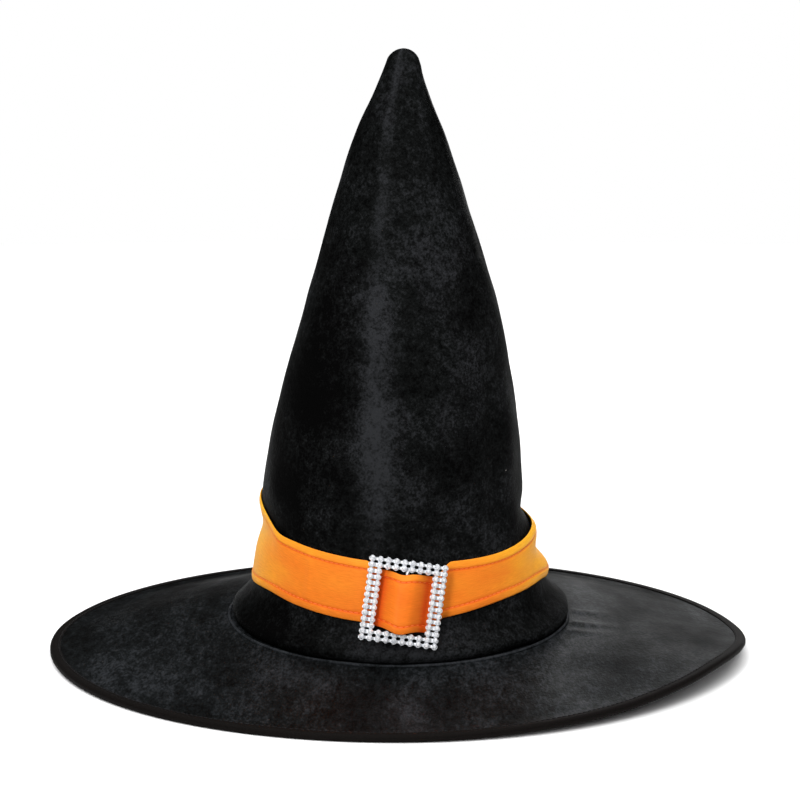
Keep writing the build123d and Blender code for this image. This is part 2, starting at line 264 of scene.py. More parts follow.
def brim_lift(x, y):
    """How far the brim's cloth stands off its made shape at a place, in mm."""
    r, around = math.hypot(x, y), math.degrees(math.atan2(x, -y))
    lift = ease(100, 205, r) * (along_line(RIM, around) + FLOOR_GAP)
    slack = ease(104, 140, r) * (1 - ease(176, 192, r))
    lift += slack * (1.1 * lumps((x, y, 0), 62, 1.3) + 0.5 * lumps((x, y, 0), 27, 4.9))
    pull = ease(99, 103, r) * (1 - ease(108, 132, r))
    for middle, height in SEAM_PULLS:
        lift += pull * height * hump(middle + (r - 99) * 0.12, 2.2, around)
    return lift


# ---- making up pieces
def turned(stations, steps, girth=1.0, closed=False):
    """Spins a line of (radius, height) stations in mm round the z axis. Its uv is metres round and metres up."""
    bm = bmesh.new()
    line = [bm.verts.new((0, r * MM, s * MM)) for r, s in stations]
    edges = [bm.edges.new(pair) for pair in zip(line, line[1:] + (line[:1] if closed else []))]
    bmesh.ops.spin(
        bm, geom=line + edges, cent=(0, 0, 0), axis=(0, 0, 1), angle=2 * math.pi, steps=steps, use_merge=True
    )
    bmesh.ops.remove_doubles(bm, verts=bm.verts, dist=1e-6)
    cloth_map = bm.loops.layers.uv.new("cloth")
    for face in bm.faces:
        middle = math.radians(azimuth(face.calc_center_median()))
        for loop in face.loops:
            place = loop.vert.co
            turn = math.radians(azimuth(place)) if place.xy.length > 1e-5 else middle
            turn -= round((turn - middle) / math.tau) * math.tau
            loop[cloth_map].uv = (turn / math.tau * girth, place.z)
    return bm


def face_to(bm, wanted):
    """Turns all faces over if most of them don't look the wanted way."""
    bm.normal_update()
    if sum(face.normal.dot(wanted(face.calc_center_median())) * face.calc_area() for face in bm.faces) < 0:
        bmesh.ops.reverse_faces(bm, faces=bm.faces)


def outward(place):
    """Straight out from the crown's axis at a place."""
    here = from_crown @ place
    return crown_frame.to_3x3() @ Vector((here.x, here.y, 0)).normalized()


def upward(_place):
    return Vector((0, 0, 1))


def downward(_place):
    return Vector((0, 0, -1))


def piece_from(bm, name, look, stands_for, wall=0.0, faceted=False):
    """A finished piece: wall is its thickness in mm, grown from the modelled face to its back."""
    mesh = bpy.data.meshes.new(name)
    bm.to_mesh(mesh)
    bm.free()
    mesh.polygons.foreach_set("use_smooth", [not faceted] * len(mesh.polygons))
    mesh.materials.append(look)
    piece = bpy.data.objects.new(name, mesh)
    scene.collection.objects.link(piece)
    if wall:
        thickness = piece.modifiers.new("cloth_thickness", "SOLIDIFY")
        thickness.thickness = wall * MM
        thickness.offset = -1.0
        thickness.use_even_offset = True
    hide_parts(*stands_for)
    return piece


def crown_layer(name, node, look, heights, steps, wall, extra=None, nap_and_painted_light=None):
    """One layer of the cone, over the CAD layer's own outline; its last argument gives the painted highlight and
    painted shade stored on its pile.
    """
    line = outline(node, heights)
    line.append((line[-1][0] + 0.02, 0.0))
    bm = turned([(r, s) for s, r in line], steps, CROWN_GIRTH)
    # painted highlight and painted shade, stored on the mesh for the velvet's colour
    nap_patches_and_painted_light = bm.verts.layers.float.new("nap_patches_and_painted_light") if nap_and_painted_light else None
    for v in bm.verts:
        around, s = azimuth(v.co), v.co.z / MM
        if nap_and_painted_light:
            v[nap_patches_and_painted_light] = nap_and_painted_light(around, s)
        v.co = on_crown(around, s, line, extra(around, s) if extra else 0.0)
    face_to(bm, outward)
    return piece_from(bm, name, look, [node], wall)


def brim_layer(name, node, look, radii, steps, wall, below=False, ride_up=0.0):
    """One round layer of the brim, lying where the CAD layer lies."""
    surface = skin(node)
    bm = turned([(r, 0) for r in radii], steps)
    drop = Vector((0, 0, 1 if below else -1))
    for v in bm.verts:
        hit = surface.ray_cast(Vector((v.co.x, v.co.y, -0.1 if below else 0.1)), drop)[0]
        x, y = v.co.x / MM, v.co.y / MM
        v.co.z = hit.z + (brim_lift(x, y) + ride_up * lumps((x, y, 0), 9, 2.2)) * MM
    face_to(bm, downward if below else upward)
    return piece_from(bm, name, look, [node], wall)


def stitches(bm, spots, stitch):
    """Sews one small thread stitch, (length, width, height) in mm, at each (place, along, out)."""
    length, width, height = stitch
    for place, along, out in spots:
        along, out = along.normalized(), out.normalized()
        across = out.cross(along).normalized()
        out = along.cross(across)
        turn = Matrix((along, across, out)).transposed().to_4x4()
        size = Matrix.Diagonal((length / 2 * MM, width / 2 * MM, height / 2 * MM, 1))
        lie_down = Matrix.Rotation(math.pi / 2, 4, "Y")
        bmesh.ops.create_uvsphere(
            bm, u_segments=6, v_segments=4, radius=1, matrix=Matrix.Translation(place) @ turn @ size @ lie_down
        )


# ---- materials
def add_node(look, kind, settings, links):
    """Adds a node: settings name its inputs or its own options, and links its inputs and the sockets that feed them."""
    node = look.node_tree.nodes.new(kind)
    for key, value in settings.items():
        if isinstance(key, int) or key in node.inputs:
            node.inputs[key].default_value = value
        else:
            setattr(node, key, value)
    for key, socket in links.items():
        look.node_tree.links.new(node.inputs[key], socket)
    return node


def new_look(name):
    look = bpy.data.materials.new(name)
    look.use_nodes = True
    look.node_tree.nodes.clear()
    return look


def output(look, shader):
    add_node(look, "ShaderNodeOutputMaterial", {}, {"Surface": shader.outputs[0]})
    return look


def noise_node(look, place, size, detail, rough=0.5):
    """Cloudy noise with lumps of the given size in metres."""
    settings = {"Scale": 1 / size, "Detail": detail, "Roughness": rough}
    return add_node(look, "ShaderNodeTexNoise", settings, {"Vector": place})


def ranged(look, value, low, high, to_low, to_high):
    """The value's run from low to high, turned into one from to_low to to_high."""
    settings = {"From Min": low, "From Max": high, "To Min": to_low, "To Max": to_high}
    return add_node(look, "ShaderNodeMapRange", settings, {"Value": value})


def ramp(look, factor, stops):
    """A colour ramp through (place, colour) stops."""
    node = add_node(look, "ShaderNodeValToRGB", {}, {"Fac": factor})
    bar = node.color_ramp.elements
    while len(bar) < len(stops):
        bar.new(0.5)
    for element, (place, colour) in zip(bar, stops):
        element.position = place
        element.color = linear(colour)
    return node


def pile_velvet(name, dark, middle, light, nap_run, rough, level):
    """Polyester pile velvet: a dense cut pile that drinks light, with tufts leaning this way and that, so it is almost
    black with a fine grain, and greyer in brushed patches where the pile lies over. Painted highlight and painted shade
    from a mesh attribute are added to its colour."""
    look = new_look(name)
    coords = add_node(look, "ShaderNodeTexCoord", {}, {})
    # the nap runs front to back, so the grain is drawn out nap_run times that way
    nap_scale = {"Scale": (1, 1 / nap_run, 1)}
    place = add_node(look, "ShaderNodeMapping", nap_scale, {"Vector": coords.outputs["Object"]}).outputs[0]
    # tufts of pile are 0.3 mm; drawn 1.3 mm so that the grain shows
    tufts = noise_node(look, place, 0.0013, 2.0, 0.65)
    clumps = noise_node(look, place, 0.0036, 2.0, 0.55)
    nap_patches_and_painted_light = noise_node(look, place, 0.034, 3.0)
    part = add_node(look, "ShaderNodeMath", {"operation": "MULTIPLY", 1: 0.45}, {0: clumps.outputs["Fac"]})
    grain = add_node(
        look, "ShaderNodeMath", {"operation": "MULTIPLY_ADD", 1: 0.55}, {0: tufts.outputs["Fac"], 2: part.outputs[0]}
    )
    nap_and_painted_light = ranged(look, nap_patches_and_painted_light.outputs["Fac"], 0.36, 0.66, 0.78, 1.16)
    # painted highlight and painted shade, from the mesh, added to the velvet's tone
    painted_light_attribute = add_node(look, "ShaderNodeAttribute", {"attribute_name": "nap_patches_and_painted_light"}, {})
    laid_out_and_painted_light = add_node(look, "ShaderNodeMath", {"operation": "MULTIPLY", 1: 0.17}, {0: painted_light_attribute.outputs["Fac"]})
    shade = add_node(
        look,
        "ShaderNodeMath",
        {"operation": "MULTIPLY_ADD"},
        {0: grain.outputs[0], 1: nap_and_painted_light.outputs[0], 2: laid_out_and_painted_light.outputs[0]},
    )
    cloth = ramp(look, shade.outputs[0], ((0.33, dark), (0.5, middle), (0.74, light)))
    # a few flecks of lint, 0.9 mm across, one or two in a hand's breadth
    cells = add_node(look, "ShaderNodeTexVoronoi", {"Scale": 1 / 0.021, "Randomness": 1.0}, {"Vector": place})
    near = add_node(look, "ShaderNodeMath", {"operation": "LESS_THAN", 1: 0.021}, {0: cells.outputs["Distance"]})
    tone = add_node(look, "ShaderNodeSeparateColor", {}, {"Color": cells.outputs["Color"]})
    rare = add_node(look, "ShaderNodeMath", {"operation": "GREATER_THAN", 1: 0.72}, {0: tone.outputs[0]})
    fleck = add_node(look, "ShaderNodeMath", {"operation": "MULTIPLY"}, {0: near.outputs[0], 1: rare.outputs[0]})
    lint = {"data_type": "RGBA", 7: linear("#8d8782")}
    colour = add_node(look, "ShaderNodeMix", lint, {0: fleck.outputs[0], 6: cloth.outputs[0]})
    gloss = ranged(look, nap_patches_and_painted_light.outputs["Fac"], 0.3, 0.7, rough + 0.09, rough - 0.07)
    bump = add_node(look, "ShaderNodeBump", {"Strength": 0.75, "Distance": 0.0006}, {"Height": grain.outputs[0]})
    shader = add_node(
        look,
        "ShaderNodeBsdfPrincipled",
        {"Specular IOR Level": level},
        {"Base Color": colour.outputs[2], "Roughness": gloss.outputs[0], "Normal": bump.outputs[0]},
    )
    return output(look, shader)


def plain_cloth(name, colour, light, rough, grain_mm, depth_mm, level=0.35, sheen=0.0):
    """Woven, knitted or bonded cloth of one colour, matt, with its grain drawn at grain_mm."""
    look = new_look(name)
    coords = add_node(look, "ShaderNodeTexCoord", {}, {})
    grain = noise_node(look, coords.outputs["Object"], grain_mm * MM, 2.0)
    cloth = ramp(look, grain.outputs["Fac"], ((0.3, colour), (0.7, light)))
    relief = {"Strength": 0.6, "Distance": depth_mm * MM}
    bump = add_node(look, "ShaderNodeBump", relief, {"Height": grain.outputs["Fac"]})
    shader = add_node(
        look,
        "ShaderNodeBsdfPrincipled",
        {"Roughness": rough, "Specular IOR Level": level, "Sheen Weight": sheen},
        {"Base Color": cloth.outputs[0], "Normal": bump.outputs[0]},
    )
    return output(look, shader)


def orange_satin():
    """Polyester satin: long warp floats run round the band and give it a fine streaky grain and a slight gloss. Its
    colour has painted light and shade from a mesh attribute: painted shade, redder, in the dips and along the sewn
    rows, where the light is thrown from fold to fold, and painted sheen, yellower, at the sides."""
    look = new_look("polyester_satin")
    coords = add_node(look, "ShaderNodeTexCoord", {}, {})

    def along_band(length, width, detail):
        """Noise in lumps of the given length round the band and width across it, in metres."""
        lay = {"Scale": (1 / length, 1 / width, 1)}
        laid_out_and_painted_light = add_node(look, "ShaderNodeMapping", lay, {"Vector": coords.outputs["UV"]})
        return noise_node(look, laid_out_and_painted_light.outputs[0], 1.0, detail)

    # floats are 0.15 mm apart; drawn 0.6 mm so that they show, and 5 mm long
    floats = along_band(0.005, 0.0006, 2.0)
    weave = along_band(0.0009, 0.0009, 1.0)
    cloud = along_band(0.030, 0.014, 2.0)
    # painted sheen and painted shade, from the mesh, with a random drift of hue added
    satin_painted_light = add_node(look, "ShaderNodeAttribute", {"attribute_name": "satin_painted_light"}, {})
    drift_by = {"operation": "MULTIPLY_ADD", 1: 0.35, 2: -0.17}
    drift = add_node(look, "ShaderNodeMath", drift_by, {0: cloud.outputs["Fac"]})
    hue = add_node(look, "ShaderNodeMath", {"operation": "ADD"}, {0: satin_painted_light.outputs["Fac"], 1: drift.outputs[0]})
    # yellow is painted sheen, deep red is painted shade
    body = ramp(look, hue.outputs[0], ((0.0, "#fbb52c"), (0.45, "#ea8224"), (0.8, "#e2601a"), (1.0, "#d54a12")))
    streak = ramp(look, floats.outputs["Fac"], ((0.3, "#e9e4df"), (0.7, "#ffffff")))
    streaky = {"data_type": "RGBA", "blend_type": "MULTIPLY", 0: 0.7}
    colour = add_node(look, "ShaderNodeMix", streaky, {6: body.outputs[0], 7: streak.outputs[0]})
    height = add_node(look, "ShaderNodeMath", {"operation": "ADD"}, {0: floats.outputs["Fac"], 1: weave.outputs["Fac"]})
    bump = add_node(look, "ShaderNodeBump", {"Strength": 0.5, "Distance": 0.00016}, {"Height": height.outputs[0]})
    shader = add_node(
        look,
        "ShaderNodeBsdfPrincipled",
        {"Roughness": 0.5, "Specular IOR Level": 0.07},
        {"Base Color": colour.outputs[2], "Normal": bump.outputs[0]},
    )
    return output(look, shader)


def ribbed_ribbon():
    """Grosgrain ribbon: stout ribs 1.2 mm apart across a matt black tape."""
    look = new_look("grosgrain_ribbon")
    coords = add_node(look, "ShaderNodeTexCoord", {}, {})
    rib_lay = {"Scale": 1 / 0.0012 / math.tau, "Distortion": 0.3, "bands_direction": "X"}
    ribs = add_node(look, "ShaderNodeTexWave", rib_lay, {"Vector": coords.outputs["UV"]})
    cloth = ramp(look, ribs.outputs["Fac"], ((0.1, "#08080a"), (0.9, "#1d1d20")))
    bump = add_node(look, "ShaderNodeBump", {"Strength": 0.8, "Distance": 0.0003}, {"Height": ribs.outputs["Fac"]})
    shader = add_node(
        look,
        "ShaderNodeBsdfPrincipled",
        {"Roughness": 0.6, "Specular IOR Level": 0.35},
        {"Base Color": cloth.outputs[0], "Normal": bump.outputs[0]},
    )
    return output(look, shader)


def cast_metal(name, colour, shadow, rough):
    """Bare or plated metal: bright and softly blurred, with a fine ripple and a duller film in patches."""
    look = new_look(name)
    coords = add_node(look, "ShaderNodeTexCoord", {}, {})
    film = noise_node(look, coords.outputs["Object"], 0.0016, 3.0)
    tint = ramp(look, film.outputs["Fac"], ((0.3, shadow), (0.65, colour)))
    dull = ranged(look, film.outputs["Fac"], 0.3, 0.7, rough + 0.12, rough)
    bump = add_node(look, "ShaderNodeBump", {"Strength": 0.25, "Distance": 0.0001}, {"Height": film.outputs["Fac"]})
    shader = add_node(
        look,
        "ShaderNodeBsdfPrincipled",
        {"Metallic": 1.0},
        {"Base Color": tint.outputs[0], "Roughness": dull.outputs[0], "Normal": bump.outputs[0]},
    )
    return output(look, shader)


def foiled_crystal():
    """Moulded glass stones with a mirror foil behind: each facet throws back a different piece of the room, so they
    sparkle white beside grey. The white and grey are painted into the colour in small cells, a painted sparkle on top
    of the coat's own reflections."""
    look = new_look("foiled_crystal")
    coords = add_node(look, "ShaderNodeTexCoord", {}, {})
    # painted sparkle: small cells painted white or grey
    cells = add_node(look, "ShaderNodeTexVoronoi", {"Scale": 1 / 0.0011}, {"Vector": coords.outputs["Object"]})
    tone = add_node(look, "ShaderNodeSeparateColor", {}, {"Color": cells.outputs["Color"]})
    tint = ramp(look, tone.outputs[0], ((0.0, "#c4c8d0"), (0.35, "#f2f4f8"), (1.0, "#ffffff")))
    shader = add_node(
        look,
        "ShaderNodeBsdfPrincipled",
        {"Metallic": 0.3, "Roughness": 0.15, "Coat Weight": 1.0, "Coat Roughness": 0.02, "Coat IOR": 1.55},
        {"Base Color": tint.outputs[0]},
    )
    return output(look, shader)


# the same velvet twice: the brim's copy is painted a little lighter in its middle and light tones, a painted sheen for
# the light it catches lying flat
crown_velvet_look = pile_velvet("pile_velvet_crown", "#040404", "#0e0f0f", "#252628", 1.0, 0.5, 0.006)
brim_velvet_look = pile_velvet("pile_velvet_brim", "#030303", "#101213", "#2a2c2f", 2.6, 0.5, 0.018)
interlining_look = plain_cloth("bonded_interlining", "#2a2a2c", "#3b3b3e", 0.9, 0.8, 0.2)
lining_look = plain_cloth("taffeta_lining", "#070708", "#141416", 0.42, 0.7, 0.05, level=0.5)
underside_look = plain_cloth("brushed_tricot", "#0c0c0d", "#1b1b1d", 0.8, 0.9, 0.12, sheen=0.1)
board_look = plain_cloth("pressed_fibre_board", "#2d2a27", "#3e3a36", 0.85, 1.1, 0.1)
binding_look = plain_cloth("folded_bias_tape", "#050403", "#0e0a09", 0.7, 0.6, 0.08, level=0.05)
wire_look = cast_metal("drawn_spring_wire", "#b9bcc0", "#8d9094", 0.3)
ribbon_look = ribbed_ribbon()
satin_look = orange_satin()
black_thread_look = plain_cloth("polyester_thread_black", "#0b0b0c", "#1c1c1f", 0.6, 0.3, 0.05, level=0.15)
orange_thread_look = plain_cloth("polyester_thread_orange", "#df5d1c", "#ee7a2a", 0.5, 0.3, 0.05, level=0.45)
silver_look = cast_metal("plated_zinc_alloy", "#f2f3f6", "#d6d9de", 0.32)
stone_look = foiled_crystal()


# ---- crown
roll_heights = [0.05, 0.8, 1.7, 2.7, 3.7, 4.9, 6.3, 8.0, 10.0, 13.0, 16.5]
wall_heights = [20.5 + 3.8 * k for k in range(78)]
tip_heights = [316.7, 318.4, 319.8, 320.8, 321.5, 321.9]
velvet_heights = roll_heights + wall_heights + tip_heights
inner_heights = (
    [0.05, 2.5, 5.0, 8.0, 11.0, 14.0, 17.0] + [20.5 + 7.6 * k for k in range(39)] + [314.0, 317.0, 318.6, 319.8]
)
VELVET_STEPS, STIFF_STEPS, LINING_STEPS = 264, 120, 200


def roll_lumps(around, s):
    """The rolled hem is fuller on the wearer's left and a little uneven, and lies flat behind the buckle."""
    behind_buckle = ease(-30, -20, around) * (1 - ease(42, 58, around))
    roll = ease(-1.0, 1.5, s) * (1 - ease(6, 15, s)) * (1 - behind_buckle)
    turn = math.radians(around)
    return roll * (0.9 + 1.3 * math.sin(turn) + 0.7 * lumps((math.sin(turn) * 96, math.cos(turn) * 96, 0), 26, 5.5))


def crown_painted_sheen_and_shade(around, s):
    """Painted highlight and painted shade on the crown's pile: lighter in a streak up the front, at the tip and on the
    roll under the buckle, and darker on the wearer's right and high on the wearer's left.
    """
    turn = math.radians(around)
    place = (math.sin(turn) * 80, math.cos(turn) * 80, s * 0.5)
    painted_streak = 1.15 * hump(-9 + 0.05 * (110 - s) * ease(60, 110, s) + 3.5 * lumps(place, 30, 6.1), 8, around)
    light = painted_streak * (0.35 + 0.65 * ease(20, 80, s)) * (1 - 0.35 * ease(150, 230, s)) + 0.45 * ease(285, 318, s)
    light += 0.5 * hump(0, 26, around) * (1 - ease(20, 28, s))
    painted_shade = hump(-52, 27, around) * (1 - 0.75 * ease(150, 240, s)) * ease(25, 60, s)
    painted_shade += 0.8 * hump(-52, 24, around) * (1 - ease(20, 30, s)) + 0.3 * hump(75, 20, around) * ease(150, 200, s)
    return light - 0.95 * painted_shade


def lining_wrinkles(around, s):
    """The loose lining stands in from the wall in soft folds."""
    turn = math.radians(around)
    place = (math.sin(turn) * 70, math.cos(turn) * 70, s * 0.35)
    return -ease(24, 44, s) * (1 - ease(290, 312, s)) * (0.15 + 1.4 * abs(lumps(place, 16, 9.1)))


crown_velvet = crown_layer(
    "crown_velvet",
    "crown_shell",
    crown_velvet_look,
    velvet_heights,
    VELVET_STEPS,
    VELVET,
    roll_lumps,
    crown_painted_sheen_and_shade,
)
stiff_cone = crown_layer(
    "stiff_cone", "crown_interlining", interlining_look, inner_heights, STIFF_STEPS, INTERLINING
)
cone_lining = crown_layer(
    "cone_lining", "crown_lining", lining_look, inner_heights, LINING_STEPS, LINING, lining_wrinkles
)
velvet_line = outline("crown_shell", velvet_heights)

# seam lip: the edge of the brim's cloth, pushed up by the crown's seam, as (mm out from the seat, height)
LIP = ((-1.75, 0.02), (-1.6, 0.85), (-1.1, 1.25), (-0.55, 1.15), (-0.15, 0.6), (0.1, 0.02))
LIP_STEPS = 300
lip = turned([(SEAT_R + out, height) for out, height in LIP], LIP_STEPS, SEAM_GIRTH, closed=True)
for v in lip.verts:
    around, r, s = azimuth(v.co), v.co.xy.length / MM, v.co.z / MM
    turn = math.radians(around)
    wave = lumps((math.sin(turn) * 98, math.cos(turn) * 98, 0), 21, 8.2)
    r += 0.9 * wave + 0.5 * math.sin(turn)
    v.co = round_axis(turn, r, s * (0.9 + 0.45 * wave))
bmesh.ops.recalc_face_normals(lip, faces=lip.faces)
seam_lip = piece_from(lip, "seam_lip", brim_velvet_look, ["seam_welt"])

# ---- brim
brim_radii = (
    [91.4, 94.0, 96.5, 98.6, 100.2, 102.5] + [105.5 + 3.25 * k for k in range(26)] + [189.5, 192.5, 195.0, 197.6]
)
coarse_radii = [91.4, 98.6, 103.0] + [110.0 + 7.6 * k for k in range(11)] + [192.5, 197.0]
COVER_STEPS, BOARD_STEPS, BACKING_STEPS = 300, 120, 240
PILE_RIPPLE = 0.12  # height of the small waves in the brim's velvet
brim_velvet = brim_layer(
    "brim_velvet",
    "brim_cover",
    brim_velvet_look,
    brim_radii,
    COVER_STEPS,
    BRIM_COVER,
    ride_up=PILE_RIPPLE,
)


def paint_light_on_pile(piece, amount):
    """Paints light and shade into a piece's pile: lighter where amount(around, r) is over 0, and darker where it is
    under.
    """
    nap_patches_and_painted_light = piece.data.attributes.new("nap_patches_and_painted_light", "FLOAT", "POINT")
    for v, laid_out_and_painted_light in zip(piece.data.vertices, nap_patches_and_painted_light.data):
        laid_out_and_painted_light.value = amount(azimuth(v.co), v.co.xy.length / MM)


def brim_painted_sheen_and_shade(around, r):
    """Painted sheen and painted shade on the brim's pile: lighter at the wearer's front right, by the crown and by the
    rim, and darker at the back right.
    """
    near_crown = 0.8 * hump(-26, 13, around) * hump(124, 20, r)
    near_rim = 0.5 * hump(-36, 12, around) * hump(165, 18, r)
    return near_crown + near_rim - 0.6 * hump(-125, 30, around) * hump(150, 40, r)


paint_light_on_pile(brim_velvet, brim_painted_sheen_and_shade)
# the seam lip is painted lighter all over: a painted highlight along the welt
paint_light_on_pile(seam_lip, lambda around, r: 0.9)
brim_stiffener = brim_layer(
    "brim_stiffener", "brim_board", board_look, coarse_radii, BOARD_STEPS, BRIM_BOARD
)
brim_backing = brim_layer(
    "brim_backing", "brim_underside", underside_look, brim_radii, BACKING_STEPS, BRIM_BACKING, below=True
)


def lift_with_brim(bm):
    """Moves a flat ring up with the brim's cloth, and turns its faces outside out."""
    for v in bm.verts:
        v.co.z += brim_lift(v.co.x / MM, v.co.y / MM) * MM
    bmesh.ops.recalc_face_normals(bm, faces=bm.faces)


tape_edge = BRIM_R - BINDING_W
binding_top = COVER_TOP + BINDING
# (radius, height) round the tape's section: over the velvet, round the rim, under the brim, and back inside the fold
binding_profile = [
    (tape_edge, binding_top - 0.42), (tape_edge + 0.1, binding_top - 0.1), (tape_edge + 0.5, binding_top),
    (197.0, binding_top), (198.6, binding_top - 0.05), (199.5, binding_top - 0.6), (199.95, binding_top - 1.5),
    (199.95, 1.4), (199.5, 0.55), (198.6, 0.05), (197.0, 0.0),
    (tape_edge + 0.5, 0.0), (tape_edge + 0.1, 0.08), (tape_edge, 0.4),
    (197.6, 0.45), (199.3, 0.9), (199.45, 2.0), (199.3, 3.2), (197.6, 3.65),
]
TAPE_STEPS = 360
bm = turned(binding_profile, TAPE_STEPS, RIM_GIRTH, closed=True)
lift_with_brim(bm)
rim_binding = piece_from(bm, "rim_binding", binding_look, ["brim_binding"])


def rim_place(around, r, z):
    """A place r mm out on the brim, z mm over the table before the brim's cloth lifts it."""
    turn = math.radians(around)
    x, y = r * math.sin(turn), -r * math.cos(turn)
    return Vector((x, y, z + brim_lift(x, y))) * MM


bm = bmesh.new()
spots = []
row_r = tape_edge + 1.0
for k in range(RIM_STITCHES):
    around = k * 360 / RIM_STITCHES
    place = rim_place(around, row_r, binding_top + 0.1)
    along = rim_place(around + 0.2, row_r, binding_top) - rim_place(around - 0.2, row_r, binding_top)
    spots.append((place, along, upward(place)))
stitches(bm, spots, RIM_STITCH)
binding_thread = piece_from(bm, "binding_thread", black_thread_look, ["binding_stitch"])

WIRE_STEPS = 240
wire_section = []
for k in range(8):
    turn = math.tau * k / 8
    wire_section.append((WIRE_AT_R + WIRE_R * math.cos(turn), WIRE_AT_Z + WIRE_R * math.sin(turn)))
bm = turned(wire_section, WIRE_STEPS, RIM_GIRTH, closed=True)
lift_with_brim(bm)
rim_wire = piece_from(bm, "rim_wire", wire_look, ["brim_wire"])

# ---- sweatband and the thread round the mouth
RIBBON_LOW = -3.05  # height of its lower edge
RIBBON_FACE = 0.75  # the ribbon's face, in from the outside of its CAD layer
RIBBON_STEPS = 200
ribbon_heights = [RIBBON_LOW + 0.05, -1.5, 0.5, 2.5, 5.0, 7.0, 9.0, 11.0, 13.0, 15.0, 17.0, 19.0, 20.3]
ribbon_line = [(s, r - RIBBON_FACE) for s, r in outline("sweatband", ribbon_heights)]
bm = turned([(r, s) for s, r in ribbon_line], RIBBON_STEPS, RIBBON_GIRTH)
for v in bm.verts:
    v.co = on_crown(azimuth(v.co), v.co.z / MM, ribbon_line)
face_to(bm, lambda place: -outward(place))
sweatband_ribbon = piece_from(bm, "sweatband_ribbon", ribbon_look, ["sweatband"], RIBBON)

bm = bmesh.new()
spots = []
for k in range(MOUTH_STITCHES):
    turns = [math.radians(k * 360 / MOUTH_STITCHES + d) for d in (-0.4, 0, 0.4)]
    before, place, after = (round_axis(turn, MOUTH_R, RIBBON_LOW - 0.12) for turn in turns)
    spots.append((place, after - before, -crown_up))
stitches(bm, spots, MOUTH_STITCH)
mouth_thread = piece_from(bm, "mouth_thread", black_thread_look, ["opening_stitch"])

# ---- satin band, one length of cloth round the crown and over the buckle's bar
# (degrees round, height up the crown) of its two edges
BAND_TOP = (
    (-180, 57), (-150, 60), (-118, 68), (-92, 72), (-72, 66.5), (-56, 59.6), (-44, 57.4), (-28, 55.4), (-11, 53.6),
    (12, 52.4), (30, 51.6), (47, 51.4), (68, 52.6), (88, 54.5), (115, 56), (150, 56.6), (180, 57),
)
BAND_LOW = (
    (-180, 21), (-140, 21.2), (-108, 21.4), (-85, 22.2), (-61, 25.6), (-42, 23.7), (-28, 21.9), (-14, 20.7),
    (0, 21.2), (16, 22.4), (42, 26.3), (60, 27.0), (73, 26.6), (85, 24.4), (110, 22.4), (150, 21.2), (180, 21),
)
BAND_FACE = 0.95  # the satin's face over the velvet's
HEM_DIP = 0.34  # how deep the thread pulls the satin in
SLACK_FULL, SLACK_END = 14.5, 23.5  # mm from the buckle's middle: lifted over the bar within, on the crown beyond


def loop_height(x):
    """How far the band's slack stands over the buckle's plate, x mm across it."""
    return -5.2 + 10.3 * math.exp(-(abs(x / 10.2) ** 3.2))


def band_place(around, across, out=0.0):
    """The place of the band's face: across runs 0 to 1 from its lower to its upper edge."""
    low, high = along_line(BAND_LOW, around), along_line(BAND_TOP, around)
    s = low + across * BAND_WIDTH + (high - low - BAND_WIDTH) * ease(0.15, 0.85, across)
    from_edge = min(across, 1 - across) * BAND_WIDTH
    turn = math.radians(around)
    # thicker in the hems, drawn in along the thread and rounded at the edges
    face = BAND_FACE + 0.22 * (1 - ease(HEM - 0.6, HEM + 0.8, from_edge)) - HEM_DIP * hump(HEM, 0.55, from_edge)
    face -= 0.25 * (1 - ease(0.0, 0.5, from_edge))
    # soft ripples, one small pleat, folds at the wearer's left, and an upper edge that stands off at the right
    place = (math.sin(turn) * BAND_R, math.cos(turn) * BAND_R, across * 26)
    face += 0.35 * (1 + lumps(place, 15, 2.7)) * ease(0.0, 3.0, from_edge)
    face += 0.5 * hump(-37, 1.6, around) * ease(2, 8, from_edge)
    side_fold = hump(90, 15, around)
    face += side_fold * (2.6 * hump(0.16, 0.2, across) + 1.7 * hump(0.9, 0.2, across) - 0.2 * hump(0.56, 0.12, across))
    face += 1.2 * hump(-56, 7, around) * hump(0.95, 0.3, across)
    wall = on_crown(around, s, velvet_line, face + out)
    here = from_buckle @ wall / MM
    slack = 1 - ease(SLACK_FULL, SLACK_END, abs(here.x))
    if abs(here.y) > 40 or abs(around) > 60 or slack <= 0:
        return wall
    # inside the window the band narrows and goes up over the bar
    x = here.x
    edge_low = -14.7 - 2.9 * hump(-0.5, 6.5, x)
    edge_high = 16.1 - 1.4 * hump(-2.5, 4.5, x)
    y = edge_low + (edge_high - edge_low) * across
    z = loop_height(x) + (face - BAND_FACE) + out
    z += 0.5 * hump(-1, 7, x) * hump(0.1, 0.2, across) - 1.5 * hump(-2, 7, x) * hump(1.02, 0.15, across)
    lifted = buckle_frame @ (Vector((x, y, z)) * MM)
    return wall.lerp(lifted, slack)


def satin_painted_light_at(around, across):
    """Painted light and shade on the satin, as red against yellow: painted shade, deep red, beside the rails, in the
    window and in the dips along the sewn rows; painted sheen, yellow, at the sides and at the upper hem's edge; orange
    again behind.
    """
    from_edge = min(across, 1 - across) * BAND_WIDTH
    satin_painted_light = 0.5 - 0.42 * ease(34, 84, abs(around + 3)) + 0.3 * ease(98, 125, abs(around))
    satin_painted_light -= 0.16 * (1 - ease(HEM - 1.0, HEM, from_edge)) * hump(1.0, 0.5, across)
    satin_painted_light += 0.33 * hump(HEM, 0.65, from_edge)
    here = from_buckle @ band_place(around, across) / MM
    if abs(here.x) < 24 and abs(around) < 60:
        # painted shade beside the rails, and a little in the middle of the window
        satin_painted_light += 0.45 * hump(WINDOW_W / 2 - 1.2, 2.3, abs(here.x)) + 0.1 * (1 - ease(8, 13, abs(here.x)))
    return satin_painted_light


